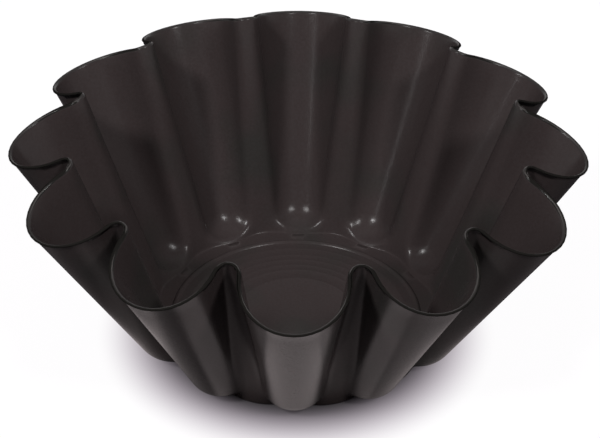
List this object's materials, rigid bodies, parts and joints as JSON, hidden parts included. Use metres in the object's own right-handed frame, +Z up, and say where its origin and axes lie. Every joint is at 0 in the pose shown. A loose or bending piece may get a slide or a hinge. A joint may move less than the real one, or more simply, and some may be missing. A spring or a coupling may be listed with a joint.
{
  "type": "pudding mould",
  "caption": "Fluted round pudding mould of coated sheet steel, open at the top, with flared scalloped walls, a narrow turned lip and a flat round foot.",
  "frame": {"origin": "middle of the underside of the round foot, on the surface that the mould stands on", "axes": "+Z up along the mould's axis, one flute points along -Y"},
  "size_m": [0.2196, 0.2196, 0.0875],
  "materials": {
    "coated_steel": "dark satin non-stick coating on pressed sheet steel"
  },
  "bodies": {
    "root": {"mould_shell": "coated_steel"}
  },
  "joints": []
}
